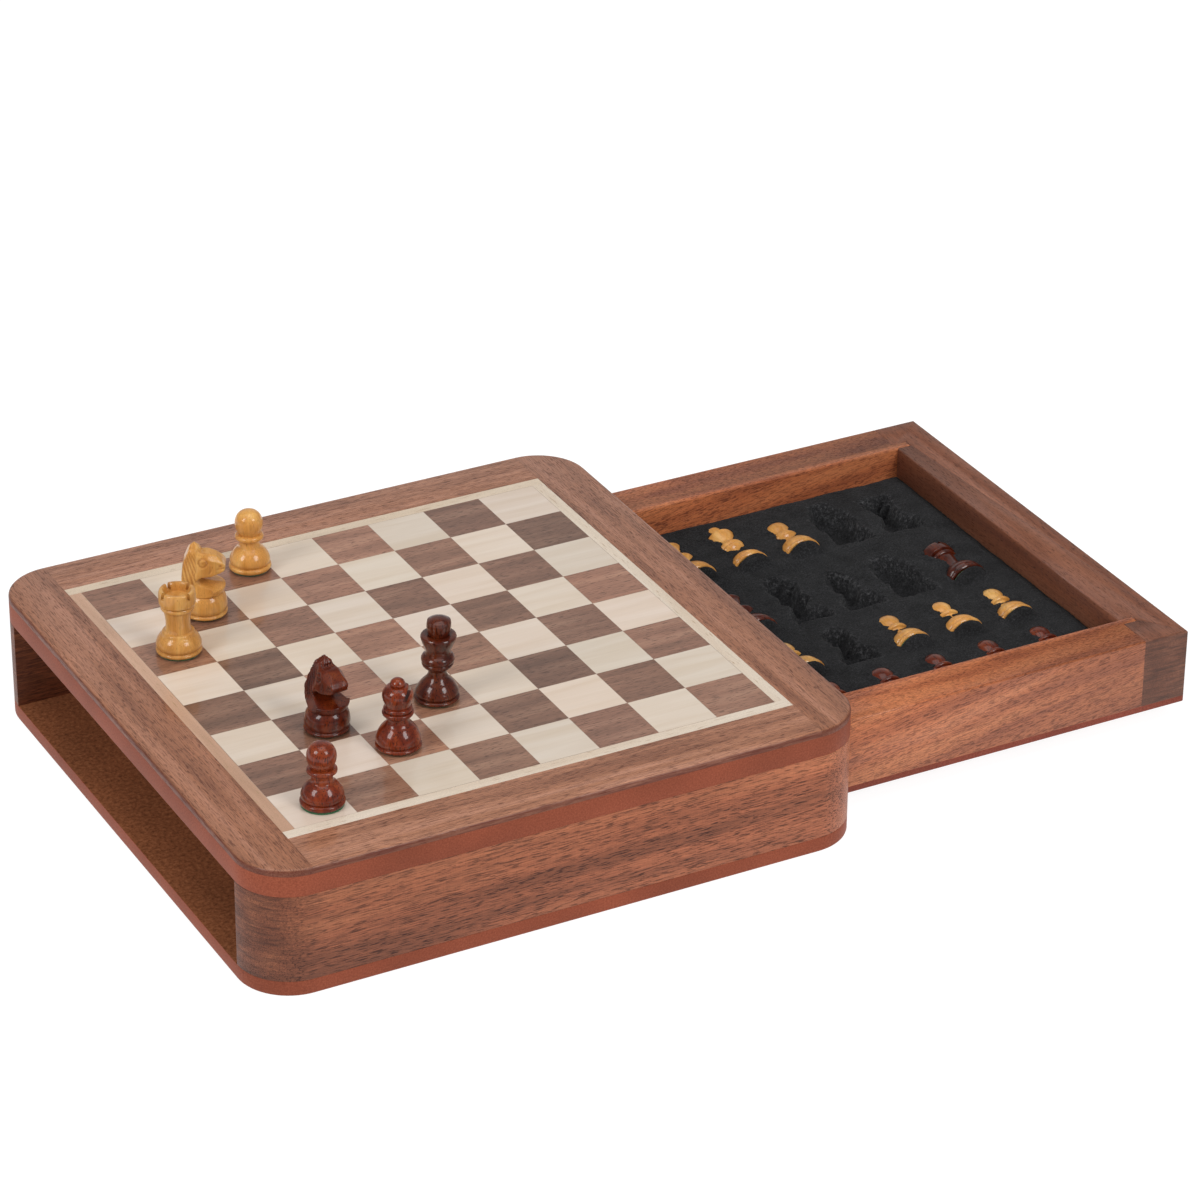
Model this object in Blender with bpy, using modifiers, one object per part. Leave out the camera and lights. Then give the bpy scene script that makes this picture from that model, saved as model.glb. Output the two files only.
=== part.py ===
"""Travel chess set: a wooden board case with a sliding drawer and 32 magnetic pieces.

The case is a sleeve, open at its left and right ends: two thick side walls between an MDF
bottom panel and a top panel that carries the board.  A drawer with a plush tray slides out
along +X.  Seven pieces stand on the board and the other 25 lie in the tray's pockets.

Frame: origin at the centre of the case's underside, +X the way the drawer opens, +Y the far
side, +Z up.  All sizes are in metres.
"""

import math

import bmesh
import bpy

MM = 0.001

# ---- Driving dimensions -----------------------------------------------------------------
SQUARE = 17.55 * MM
CASE_SIDE = 178.0 * MM
CORNER_R = 14.6 * MM
CORNER_SEGMENTS = 5

BOTTOM_T = 4.4 * MM
CAVITY_H = 25.2 * MM
CORE_T = 6.0 * MM
VENEER_T = 1.9 * MM
WALL_T = 15.0 * MM
STRIP_W = 3.5 * MM
STEEL_T = 0.5 * MM

DRAWER_OPEN = 112.0 * MM
DRAWER_W = 146.4 * MM
DRAWER_H = 22.7 * MM
DRAWER_FLOOR_T = 2.0 * MM
RAIL_T = 14.0 * MM
TONGUE_T = 2.8 * MM
TONGUE_L = 4.7 * MM
TRAY_BELOW_RAIL = 8.2 * MM

SLOT_PITCH = 17.15 * MM
SLOT_DEPTH = 9.3 * MM
AXIS_BELOW_TRAY = 2.6 * MM
SLOT_ROOM = 0.5 * MM

GLUE_GAP = 0.1 * MM
REST_GAP = 0.3 * MM
FELT_T = 0.5 * MM
MAGNET_R = 2.5 * MM
MAGNET_H = 2.6 * MM
TURNED_SIDES = 10
HORSE_T = 7.0 * MM

# ---- Levels and half sizes worked out from them -----------------------------------------
HALF_CASE = CASE_SIDE / 2
HALF_FIELD = 4 * SQUARE
HALF_FRAME = HALF_FIELD + STRIP_W
CAVITY_TOP = BOTTOM_T + CAVITY_H
CORE_TOP = CAVITY_TOP + CORE_T
BOARD_TOP = CORE_TOP + VENEER_T

HALF_DRAWER_L = CASE_SIDE / 2
HALF_DRAWER_W = DRAWER_W / 2
DRAWER_BASE = BOTTOM_T + REST_GAP
FRAME_BASE = DRAWER_BASE + DRAWER_FLOOR_T
DRAWER_TOP = DRAWER_BASE + DRAWER_H
TRAY_TOP = DRAWER_TOP - TRAY_BELOW_RAIL
AXIS_Z = TRAY_TOP - AXIS_BELOW_TRAY

# ---- The 32 pieces ----------------------------------------------------------------------
# Turned outlines from top to bottom: (radius, height above the board) in millimetres.
OUTLINES = {
    "pawn": [(0, 18.3), (2.6, 17.4), (3.9, 14.4), (2.5, 11.3), (4.0, 10.6), (4.0, 9.9),
             (2.8, 8.4), (4.9, 6.0), (5.6, 3.0), (5.9, 1.9), (5.9, 0)],
    "rook": [(0, 15.6), (3.1, 15.6), (3.4, 19.1), (4.9, 18.0), (4.8, 14.4), (3.6, 12.4),
             (3.3, 9.8), (5.4, 6.6), (6.1, 3.4), (6.3, 1.9), (6.3, 0)],
    "bishop": [(0, 20.6), (1.9, 19.6), (2.2, 18.4), (4.1, 16.2), (3.2, 12.6), (4.2, 11.2),
               (4.2, 10.2), (2.9, 8.2), (5.3, 5.4), (5.9, 2.8), (6.1, 1.9), (6.1, 0)],
    "king": [(0, 24.8), (3.0, 24.4), (2.7, 18.8), (4.7, 19.8), (3.5, 15.9), (4.7, 12.6),
             (4.5, 11.3), (3.0, 9.4), (5.4, 5.6), (5.9, 2.6), (6.1, 1.9), (6.1, 0)],
    "queen": [(0, 23.2), (1.6, 22.2), (1.7, 20.4), (4.4, 19.4), (3.2, 15.6), (4.6, 12.2),
              (4.4, 11.0), (2.9, 9.2), (5.3, 5.6), (5.9, 2.6), (6.1, 1.9), (6.1, 0)],
    "knight": [(0, 7.8), (4.6, 7.4), (5.7, 5.2), (5.9, 2.8), (6.1, 1.9), (6.1, 0)],
}
# The knight's carved part from the side: (forwards, height) in millimetres.
HORSE = [(-4.2, 5.0), (-6.0, 9.5), (-6.0, 15.3), (-4.6, 19.6), (-2.7, 22.4), (-1.1, 20.5),
         (1.5, 20.1), (4.2, 18.6), (5.7, 16.4), (5.4, 14.0), (3.4, 12.9), (-1.2, 12.4),
         (-1.8, 11.4), (5.4, 9.3), (4.8, 5.0)]
# A pocket follows the lying piece: (half width, distance from the foot) in millimetres.
POCKETS = {
    "pawn": [(6.2, 0), (6.2, 4.6), (4.3, 7.4), (4.3, 16.4), (2.6, 18.3)],
    "rook": [(6.6, 0), (6.6, 5.4), (5.1, 8.4), (5.1, 18.3), (3.8, 19.4)],
    "bishop": [(6.4, 0), (6.4, 5.0), (4.5, 8.0), (4.5, 17.2), (2.4, 20.6)],
    "king": [(6.4, 0), (6.4, 5.0), (5.0, 8.4), (5.0, 20.4), (3.3, 21.8), (3.3, 24.8)],
    "queen": [(6.4, 0), (6.4, 5.0), (4.9, 8.4), (4.9, 20.4), (2.4, 23.2)],
    "knight": [(6.5, 0), (6.5, 16.8), (3.0, 22.4)],
}

OFFICERS = ["rook", "knight", "bishop", "king", "queen", "bishop", "knight", "rook"]
PAWNS = ["pawn"] * 8
# Tray rows, far to near: colour, kinds counted from the drawer's outer end, foot line.
TRAY_ROWS = [
    ("light", OFFICERS, 29.1 * MM),
    ("dark", OFFICERS, -6.0 * MM),
    ("light", PAWNS, -32.6 * MM),
    ("dark", PAWNS, -57.4 * MM),
]
# Pieces in play: file and rank of the square, how far off its centre, and turn in degrees.
IN_PLAY = {
    "light_rook_1": (0, 5, 2.1, 1.2, 0),
    "light_knight_1": (1, 6, -0.4, 0.1, -26),
    "light_pawn_4": (2, 7, 3.6, 0.5, 0),
    "dark_pawn_6": (0, 0, 2.7, -0.9, 0),
    "dark_knight_1": (1, 2, 2.3, -1.9, -90),
    "dark_bishop_1": (2, 1, -2.5, -1.3, -20),
    "dark_king": (3, 2, -0.1, -1.0, 0),
}


def start_file():
    """Empty the scene and make the two collections."""
    for item in list(bpy.data.objects):
        bpy.data.objects.remove(item)
    parts = bpy.data.collections.new("chess_set")
    cutters = bpy.data.collections.new("cutters")
    for group in (parts, cutters):
        bpy.context.scene.collection.children.link(group)
    return parts, cutters


PARTS, CUTTERS = start_file()


def finish_material(name, rgb, roughness, metallic=0.0):
    """A plain Principled material in one colour (linear RGB)."""
    made = bpy.data.materials.new(name)
    made.use_nodes = True
    shader = made.node_tree.nodes["Principled BSDF"]
    shader.inputs["Base Color"].default_value = (*rgb, 1.0)
    shader.inputs["Roughness"].default_value = roughness
    shader.inputs["Metallic"].default_value = metallic
    return made


STAINED_MDF = finish_material("stained_mdf", (0.37, 0.11, 0.06), 0.55)
BORDER_WOOD = finish_material("border_wood", (0.34, 0.19, 0.13), 0.50)
MAPLE = finish_material("maple", (0.69, 0.53, 0.39), 0.45)
FIELD_VENEER = finish_material("field_veneer", (0.45, 0.33, 0.24), 0.45)
SHEET_STEEL = finish_material("sheet_steel", (0.50, 0.50, 0.50), 0.35, 1.0)
DRAWER_WOOD = finish_material("drawer_wood", (0.40, 0.17, 0.09), 0.50)
STAINED_PLY = finish_material("stained_ply", (0.30, 0.10, 0.06), 0.55)
PLUSH = finish_material("plush", (0.018, 0.018, 0.020), 0.95)
LIGHT_WOOD = finish_material("light_wood", (0.68, 0.36, 0.11), 0.25)
DARK_WOOD = finish_material("dark_wood", (0.20, 0.04, 0.015), 0.25)
FELTED_MAGNET = finish_material("felted_magnet", (0.02, 0.12, 0.05), 0.90)


def into_scene(name, data, material, group=PARTS, parent=None):
    """An object of this data in a collection, with its one material."""
    made = bpy.data.objects.new(name, data)
    if material is not None and not data.materials:
        data.materials.append(material)
    group.objects.link(made)
    made.parent = parent
    if group == CUTTERS:
        made.hide_render = True
        made.display_type = "WIRE"
    return made


def slab(name, low, high, material, round_at=(), parent=None, group=PARTS):
    """A box between two corners; round_at lists the (x sign, y sign) of its round corners."""
    shape = bmesh.new()
    bmesh.ops.create_cube(shape, size=1.0)
    for vert in shape.verts:
        for axis in range(3):
            vert.co[axis] = low[axis] + (vert.co[axis] + 0.5) * (high[axis] - low[axis])
    mid = [(a + b) / 2 for a, b in zip(low, high)]
    upright = []
    for edge in shape.edges:
        a, b = (vert.co for vert in edge.verts)
        if abs(a.z - b.z) < GLUE_GAP:
            continue
        corner = (int(math.copysign(1, a.x - mid[0])), int(math.copysign(1, a.y - mid[1])))
        if corner in round_at:
            upright.append(edge)
    if upright:
        bmesh.ops.bevel(shape, geom=upright, offset=CORNER_R, segments=CORNER_SEGMENTS,
                        profile=0.5, affect="EDGES")
    mesh = bpy.data.meshes.new(name)
    shape.to_mesh(mesh)
    shape.free()
    return into_scene(name, mesh, material, group, parent)


def plate(name, outline, bottom, top, material, parent=None, group=PARTS):
    """A flat outline of (x, y) corners, raised between two heights, as a welded mesh."""
    curve = bpy.data.curves.new(name, "CURVE")
    curve.dimensions = "2D"
    curve.fill_mode = "BOTH"
    curve.extrude = (top - bottom) / 2
    line = curve.splines.new("POLY")
    line.points.add(len(outline) - 1)
    for point, (x, y) in zip(line.points, outline):
        point.co = (x, y, 0.0, 1.0)
    line.use_cyclic_u = True
    raised = bpy.data.objects.new(name, curve)
    bpy.context.scene.collection.objects.link(raised)
    raised.location.z = (top + bottom) / 2
    bpy.context.view_layer.update()
    ready = raised.evaluated_get(bpy.context.evaluated_depsgraph_get())
    mesh = bpy.data.meshes.new_from_object(ready)
    shape = bmesh.new()
    shape.from_mesh(mesh)
    bmesh.ops.remove_doubles(shape, verts=shape.verts, dist=GLUE_GAP / 10)
    bmesh.ops.transform(shape, matrix=raised.matrix_world, verts=shape.verts)
    bmesh.ops.recalc_face_normals(shape, faces=shape.faces)
    shape.to_mesh(mesh)
    shape.free()
    bpy.data.objects.remove(raised)
    mesh.name = name
    mesh.materials.clear()
    return into_scene(name, mesh, material, group, parent)


def turned_mesh(name, outline):
    """A mesh of one outline of (radius, height) points in metres, for a Screw modifier."""
    mesh = bpy.data.meshes.new(name)
    verts = [(radius, 0.0, height) for radius, height in outline]
    mesh.from_pydata(verts, [(i, i + 1) for i in range(len(verts) - 1)], [])
    return mesh


def turned(name, mesh, material, parent=None):
    """An object that spins a shared outline round its own Z axis."""
    made = into_scene(name, mesh, material, parent=parent)
    spin = made.modifiers.new("Spin", "SCREW")
    spin.axis = "Z"
    spin.steps = spin.render_steps = TURNED_SIDES
    spin.use_merge_vertices = True
    spin.merge_threshold = 0.00001
    spin.use_smooth_shade = True
    return made


# ---- Case -------------------------------------------------------------------------------
ALL_CORNERS = [(-1, -1), (-1, 1), (1, -1), (1, 1)]


def build_case():
    """The sleeve: bottom panel, two walls, top core with its steel sheet."""
    side = HALF_CASE
    slab("case_bottom_panel", (-side, -side, 0), (side, side, BOTTOM_T),
         STAINED_MDF, ALL_CORNERS)
    for name, sign in (("case_wall_near", -1), ("case_wall_far", 1)):
        inner, outer = sign * (side - WALL_T), sign * side
        slab(name, (-side, min(inner, outer), BOTTOM_T + GLUE_GAP),
             (side, max(inner, outer), CAVITY_TOP - GLUE_GAP),
             BORDER_WOOD, [(-1, sign), (1, sign)])

    core = slab("case_top_core", (-side, -side, CAVITY_TOP), (side, side, CORE_TOP),
                STAINED_MDF, ALL_CORNERS)
    room = HALF_FIELD - STRIP_W
    floor = CORE_TOP - STEEL_T - 2 * GLUE_GAP
    recess = slab("steel_recess", (-room, -room, floor), (room, room, CORE_TOP + STRIP_W),
                  None, group=CUTTERS)
    cut = core.modifiers.new("Steel recess", "BOOLEAN")
    cut.operation = "DIFFERENCE"
    cut.solver = "EXACT"
    cut.object = recess
    half = room - REST_GAP
    slab("steel_sheet", (-half, -half, floor + GLUE_GAP),
         (half, half, CORE_TOP - GLUE_GAP), SHEET_STEEL)


def build_board_top():
    """The veneered board: playing field, four maple strips and four border strips."""
    low, high = CORE_TOP + GLUE_GAP, BOARD_TOP
    gap = GLUE_GAP / 2
    field = HALF_FIELD - gap
    slab("playing_field", (-field, -field, low), (field, field, high), FIELD_VENEER)

    inside, outside = HALF_FIELD + gap, HALF_FRAME - gap
    for name, sign in (("near", -1), ("far", 1)):
        ys = sorted((sign * inside, sign * outside))
        slab("maple_strip_" + name, (-outside, ys[0], low), (outside, ys[1], high), MAPLE)
    for name, sign in (("left", -1), ("right", 1)):
        xs = sorted((sign * inside, sign * outside))
        slab("maple_strip_" + name, (xs[0], -field, low), (xs[1], field, high), MAPLE)

    edge, rim = HALF_FRAME + gap, HALF_CASE
    for name, sign in (("left", -1), ("right", 1)):
        xs = sorted((sign * edge, sign * rim))
        slab("border_strip_" + name, (xs[0], -rim, low), (xs[1], rim, high),
             BORDER_WOOD, [(sign, -1), (sign, 1)])
    for name, sign in (("near", -1), ("far", 1)):
        ys = sorted((sign * edge, sign * rim))
        slab("border_strip_" + name, (-outside, ys[0], low), (outside, ys[1], high),
             BORDER_WOOD)


# ---- Drawer -----------------------------------------------------------------------------
def build_drawer():
    """The drawer's frame and floor, in its own frame, then pulled out along +X."""
    slide = bpy.data.objects.new("drawer_slide", None)
    PARTS.objects.link(slide)
    slide.location.x = DRAWER_OPEN

    length, width = HALF_DRAWER_L, HALF_DRAWER_W
    slab("drawer_floor", (-length, -width, DRAWER_BASE),
         (length, width, FRAME_BASE - GLUE_GAP), STAINED_PLY, parent=slide)

    inner_x, inner_y = length - RAIL_T, width - RAIL_T
    shoulder, tongue_y = inner_x - GLUE_GAP, inner_y + TONGUE_T
    tip = inner_x + TONGUE_L
    for name, sign in (("drawer_rail_near", -1), ("drawer_rail_far", 1)):
        rail = [(-tip, inner_y), (tip, inner_y), (tip, tongue_y), (shoulder, tongue_y),
                (shoulder, width), (-shoulder, width), (-shoulder, tongue_y),
                (-tip, tongue_y)]
        plate(name, [(x, sign * y) for x, y in rail], FRAME_BASE, DRAWER_TOP,
              DRAWER_WOOD, parent=slide)

    notch_x = tip + GLUE_GAP
    notch_in, notch_out = inner_y - GLUE_GAP, tongue_y + GLUE_GAP
    half = [(length, width), (inner_x, width), (inner_x, notch_out), (notch_x, notch_out),
            (notch_x, notch_in), (inner_x, notch_in)]
    board = half + [(x, -y) for x, y in reversed(half)]
    for name, sign in (("drawer_end_right", 1), ("drawer_end_left", -1)):
        plate(name, [(sign * x, y) for x, y in board], FRAME_BASE, DRAWER_TOP,
              DRAWER_WOOD, parent=slide)
    return slide


def slot_centres():
    """Every pocket: piece name, kind, and its foot's place in the drawer's own frame."""
    slots = []
    for colour, kinds, foot_y in TRAY_ROWS:
        for column, kind in enumerate(kinds):
            number = kinds[:column + 1].count(kind)
            single = kinds.count(kind) == 1
            name = f"{colour}_{kind}" if single else f"{colour}_{kind}_{number}"
            foot_x = (3.5 - column) * SLOT_PITCH
            slots.append((name, kind, colour, foot_x, foot_y))
    return slots


def build_tray(slide):
    """The plush tray, with one pocket in the shape of each lying piece."""
    length = HALF_DRAWER_L - RAIL_T - REST_GAP
    width = HALF_DRAWER_W - RAIL_T - REST_GAP
    tray = slab("piece_tray", (-length, -width, FRAME_BASE + REST_GAP),
                (length, width, TRAY_TOP), PLUSH, parent=slide)
    pockets = bpy.data.collections.new("pockets")
    CUTTERS.children.link(pockets)
    for name, kind, _, foot_x, foot_y in slot_centres():
        right = [(half * MM, foot_y + far * MM) for half, far in POCKETS[kind]]
        right[0] = (right[0][0], foot_y - SLOT_ROOM)
        right[-1] = (right[-1][0], right[-1][1] + SLOT_ROOM)
        left = [(-x, y) for x, y in reversed(right)]
        outline = [(foot_x + x, y) for x, y in right + left]
        cutter = plate("pocket_" + name, outline, TRAY_TOP - SLOT_DEPTH,
                       TRAY_TOP + SLOT_DEPTH, None, parent=slide, group=CUTTERS)
        CUTTERS.objects.unlink(cutter)
        pockets.objects.link(cutter)
    cut = tray.modifiers.new("Pockets", "BOOLEAN")
    cut.operation = "DIFFERENCE"
    cut.solver = "EXACT"
    cut.operand_type = "COLLECTION"
    cut.collection = pockets


# ---- Pieces -----------------------------------------------------------------------------
def outline_of(kind, standing):
    """A kind's outline down to its foot, closed there or bored for the magnet."""
    points = [(radius * MM, height * MM) for radius, height in OUTLINES[kind]]
    foot_r = points[-1][0]
    if not standing:
        return points[:-1] + [(foot_r, REST_GAP), (0.0, REST_GAP)]
    foot = REST_GAP + FELT_T + GLUE_GAP
    bore_r, bore_top = MAGNET_R + REST_GAP, foot + MAGNET_H
    return points[:-1] + [(foot_r, foot), (bore_r, foot), (bore_r, bore_top), (0.0, bore_top)]


def plug_outline(kind):
    """The magnet in its bore and the felt glued under it and the foot."""
    foot_r = OUTLINES[kind][-1][0] * MM
    felt_r = foot_r - REST_GAP
    felt_top = REST_GAP + FELT_T
    tip = felt_top + MAGNET_H - REST_GAP
    return [(0.0, tip), (MAGNET_R, tip), (MAGNET_R, felt_top), (felt_r, felt_top),
            (felt_r, REST_GAP), (0.0, REST_GAP)]


def add_horse(piece):
    """The carved part of a knight, joined to its turned foot."""
    outline = [(x * MM, z * MM) for x, z in HORSE]
    horse = plate("horse_of_" + piece.name, outline, -HORSE_T / 2, HORSE_T / 2, None,
                  group=CUTTERS)
    horse.rotation_euler.x = math.radians(90)
    horse.parent = piece
    join = piece.modifiers.new("Horse", "BOOLEAN")
    join.operation = "UNION"
    join.solver = "EXACT"
    join.object = horse


def build_pieces(slide):
    """All 32 pieces: seven stand on the board, 25 lie in the tray with heads to the far side."""
    outlines = {}
    for kind in OUTLINES:
        for standing in (True, False):
            outlines[kind, standing] = outline_of(kind, standing)
    woods = {"light": LIGHT_WOOD, "dark": DARK_WOOD}
    for name, kind, colour, foot_x, foot_y in slot_centres():
        standing = name in IN_PLAY
        mesh = turned_mesh(name, outlines[kind, standing])
        if standing:
            file, rank, off_x, off_y, turn = IN_PLAY[name]
            stand = bpy.data.objects.new(name + "_lift", None)
            PARTS.objects.link(stand)
            stand.location = ((file - 3.5) * SQUARE + off_x * MM,
                              (rank - 3.5) * SQUARE + off_y * MM, BOARD_TOP)
            stand.rotation_euler.z = math.radians(turn)
            piece = turned(name, mesh, woods[colour], parent=stand)
            turned(name + "_magnet_and_felt", turned_mesh(name + "_plug", plug_outline(kind)),
                   FELTED_MAGNET, parent=stand)
        else:
            piece = turned(name, mesh, woods[colour], parent=slide)
            piece.location = (foot_x, foot_y, AXIS_Z)
            piece.rotation_euler.x = math.radians(-90)
        if kind == "knight":
            add_horse(piece)


build_case()
build_board_top()
SLIDE = build_drawer()
build_tray(SLIDE)
build_pieces(SLIDE)
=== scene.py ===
"""Looks of the travel chess set: its wooden board case, drawer, plush tray and 32 pieces."""

import math
import random

import bmesh
import bpy
from mathutils import Matrix, Vector, noise


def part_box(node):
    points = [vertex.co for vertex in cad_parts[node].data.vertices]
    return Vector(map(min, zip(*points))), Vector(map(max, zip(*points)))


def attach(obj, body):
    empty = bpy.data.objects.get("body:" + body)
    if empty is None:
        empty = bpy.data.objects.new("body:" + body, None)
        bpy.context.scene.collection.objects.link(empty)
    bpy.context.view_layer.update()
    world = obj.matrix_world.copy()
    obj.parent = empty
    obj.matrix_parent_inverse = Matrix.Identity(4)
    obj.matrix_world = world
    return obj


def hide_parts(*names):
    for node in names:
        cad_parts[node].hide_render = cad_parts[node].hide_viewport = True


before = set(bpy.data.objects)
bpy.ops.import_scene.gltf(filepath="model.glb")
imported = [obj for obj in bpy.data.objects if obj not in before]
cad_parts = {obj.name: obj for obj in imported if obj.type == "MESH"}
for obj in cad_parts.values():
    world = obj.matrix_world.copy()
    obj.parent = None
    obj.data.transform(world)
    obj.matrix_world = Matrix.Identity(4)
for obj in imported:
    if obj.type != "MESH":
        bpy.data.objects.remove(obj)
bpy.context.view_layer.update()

# ---- Bottom panel -----------------------------------------------------------------------
# The real one is a square of thin fibreboard, its sawn edge stained red-brown and lacquered.
# Its upper face is left raw and shows through the open end of the case.  The walls are glued
# to it flush with its rounded corners.
MM = 0.001
CORNER_ROUND = 14.9 * MM
CORNER_STEPS = 16
SAWN_EASE = 0.35 * MM
NEAR_ZERO = 0.02 * MM
ALL_CORNERS = [(-1, -1), (-1, 1), (1, -1), (1, 1)]
case_low, case_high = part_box("case_bottom_panel")


def alone(first, *others):
    """Selects just these pieces, the first one active."""
    bpy.ops.object.select_all(action="DESELECT")
    for piece in (first, *others):
        piece.select_set(True)
    bpy.context.view_layer.objects.active = first


def start_mesh(name, add, **sizes):
    """Adds a primitive with nothing else selected, under its own name, ready to edit."""
    bpy.ops.object.select_all(action="DESELECT")
    add(**sizes)
    made = bpy.context.object
    made.name = made.data.name = name
    return made


def scaled_box(name, place, size, turn=(0, 0, 0)):
    """A box of a size about a place, turned (x, y, z) in radians about its own centre."""
    made = start_mesh(name, bpy.ops.mesh.primitive_cube_add, size=1, location=place)
    made.scale = size
    made.rotation_euler = turn
    bpy.ops.object.transform_apply(location=True, rotation=True, scale=True)
    return made


def select_edges(board, wanted):
    """In edit mode, selects just the edges that pass a test of their two ends."""
    bpy.ops.mesh.select_mode(type="EDGE")
    bpy.ops.mesh.select_all(action="DESELECT")
    shape = bmesh.from_edit_mesh(board.data)
    for edge in shape.edges:
        edge.select_set(wanted(edge.verts[0].co, edge.verts[1].co))
    bmesh.update_edit_mesh(board.data)


def on_case_rim(point):
    """Whether a point is on the rounded square that is the case's outline."""
    reach_x = abs(point.x - case_low.x if point.x < 0 else case_high.x - point.x)
    reach_y = abs(point.y - case_low.y if point.y < 0 else case_high.y - point.y)
    if max(reach_x, reach_y) >= CORNER_ROUND:
        return min(reach_x, reach_y) < NEAR_ZERO
    out_by = math.hypot(CORNER_ROUND - reach_x, CORNER_ROUND - reach_y) - CORNER_ROUND
    return abs(out_by) < 2 * NEAR_ZERO


def sawn_board(name, low, high, round_corners=(), eases=()):
    """A board between two corners, with its upright corners rounded and its rims eased.

    eases holds (level, width, test): the edges at that level that pass are eased.
    """
    middle = (low + high) / 2
    board = scaled_box(name, middle, high - low)
    bpy.ops.object.mode_set(mode="EDIT")

    def upright(a, b):
        side = (1 if a.x > middle.x else -1, 1 if a.y > middle.y else -1)
        return abs(a.z - b.z) > NEAR_ZERO and side in round_corners

    if round_corners:
        select_edges(board, upright)
        bpy.ops.mesh.bevel(offset=CORNER_ROUND, segments=CORNER_STEPS, affect="EDGES")
    for level, width, test in eases:
        select_edges(board, lambda a, b: abs(a.z - level) < NEAR_ZERO and
                     abs(b.z - level) < NEAR_ZERO and test(a) and test((a + b) / 2))
        bpy.ops.mesh.bevel(offset=width, segments=3, affect="EDGES")
    bpy.ops.object.mode_set(mode="OBJECT")
    bpy.ops.object.shade_smooth_by_angle(angle=math.radians(40))
    return board


def linear(hex_colour):
    """An sRGB hex colour as linear RGBA."""
    parts = [int(hex_colour[i:i + 2], 16) / 255 for i in (1, 3, 5)]
    return [c / 12.92 if c <= 0.04045 else ((c + 0.055) / 1.055) ** 2.4 for c in parts] + [1]


def add_node(material, kind, inputs=None, stops=None, **settings):
    """Adds a shader node: settings are its own, inputs are values or sockets to link."""
    made = material.node_tree.nodes.new("ShaderNode" + kind)
    for name, value in settings.items():
        setattr(made, name, value)
    for name, value in (inputs or {}).items():
        if isinstance(value, bpy.types.NodeSocket):
            material.node_tree.links.new(value, made.inputs[name])
        else:
            made.inputs[name].default_value = value
    for place, (at, colour) in enumerate(stops or []):
        ramp = made.color_ramp.elements
        stop = ramp[place] if place < len(ramp) else ramp.new(at)
        stop.position, stop.color = at, linear(colour)
    return made


def new_material(name):
    """An empty node material and its shader."""
    made = bpy.data.materials.new(name)
    made.use_nodes = True
    return made, made.node_tree.nodes["Principled BSDF"]


def set_shader(shader, **values):
    """Sets or links the shader's own sockets, such as coat_weight for Coat Weight."""
    for name, value in values.items():
        socket = shader.inputs[name.replace("_", " ").title().replace("Ior", "IOR")]
        if isinstance(value, bpy.types.NodeSocket):
            shader.id_data.links.new(value, socket)
        else:
            socket.default_value = value


def own_place(material):
    """The place on the piece, in its own coordinates."""
    return add_node(material, "TexCoord").outputs["Object"]


def grain(material, place, sizes_mm, detail=2.0, **more):
    """Noise whose patches have a size along X, Y and Z, or along all three."""
    sizes_mm = sizes_mm if isinstance(sizes_mm, (tuple, list)) else [sizes_mm] * 3
    spread = add_node(material, "Mapping", {"Vector": place, "Scale": [
        1 / (size * MM) if size else 0 for size in sizes_mm]})
    return add_node(material, "TexNoise", {"Vector": spread.outputs["Vector"], "Scale": 1.0,
                                           "Detail": detail, **more}).outputs["Fac"]


def between(material, value, low, high, to_low=0.0, to_high=1.0):
    """A value carried from one range to another and held inside it."""
    return add_node(material, "MapRange", {"Value": value, "From Min": low, "From Max": high,
                                           "To Min": to_low, "To Max": to_high}).outputs["Result"]


def worked_out(material, operation, *values):
    """The outcome of a sum of two or three values."""
    return add_node(material, "Math", dict(enumerate(values)),
                    operation=operation).outputs["Value"]


def toned(material, amount, *stops):
    """A colour between the (amount, colour) stops."""
    return add_node(material, "ValToRGB", {"Fac": amount}, stops=stops).outputs["Color"]


def mixed(material, amount, first, second, **settings):
    """Two colours mixed by an amount; the second one may be a hex colour."""
    second = linear(second) if isinstance(second, str) else second
    return add_node(material, "MixRGB", {"Fac": amount, "Color1": first, "Color2": second},
                    **settings).outputs["Color"]


def strengthened(material, colour, amount):
    """A colour made darker or lighter by an amount."""
    return add_node(material, "VectorMath", {0: colour, "Scale": amount},
                    operation="SCALE").outputs["Vector"]


def relief(material, height, strength, depth_mm, **settings):
    """The surface's direction where a height raises it."""
    return add_node(material, "Bump", {"Height": height, "Strength": strength,
                                       "Distance": depth_mm * MM}, **settings).outputs["Normal"]


def fibreboard(name, colours, grain_mm, roughness, coat):
    """Pressed wood fibre: a fine speckle of fibre ends under slow changes of stain."""
    made, shader = new_material(name)
    place = own_place(made)
    fibres = grain(made, place, grain_mm, 4.0, Roughness=0.7)
    speckle = toned(made, fibres, *zip((0.28, 0.5, 0.72), colours))
    slow = between(made, grain(made, place, 24, 3.0), 0.3, 0.7, 0.82, 1.12)
    set_shader(shader, base_color=strengthened(made, speckle, slow), roughness=roughness,
               coat_weight=coat, coat_roughness=0.3, specular_ior_level=0.1,
               normal=relief(made, fibres, 0.25, 0.15))
    return made


STAINED_EDGE = fibreboard("stained_fibreboard_edge", ["#773a27", "#8d4832", "#9d563d"],
                          0.5, 0.55, 0.08)
RAW_FIBRE = fibreboard("raw_hardboard_face", ["#5e3722", "#8a5436", "#a96e4a"],
                       1.1, 0.9, 0.0)


def dress(piece, body, replaced, slot, *materials):
    """Gives a finished piece its materials and its place in the frame."""
    for material in materials:
        piece.data.materials.append(material)
    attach(piece, body)
    if replaced:
        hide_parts(*replaced)
    return piece


def face_material(piece, index, wanted):
    """Gives a piece's second or later material to the faces that pass a test."""
    for polygon in piece.data.polygons:
        if wanted(polygon.normal, polygon.center):
            polygon.material_index = index


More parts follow.
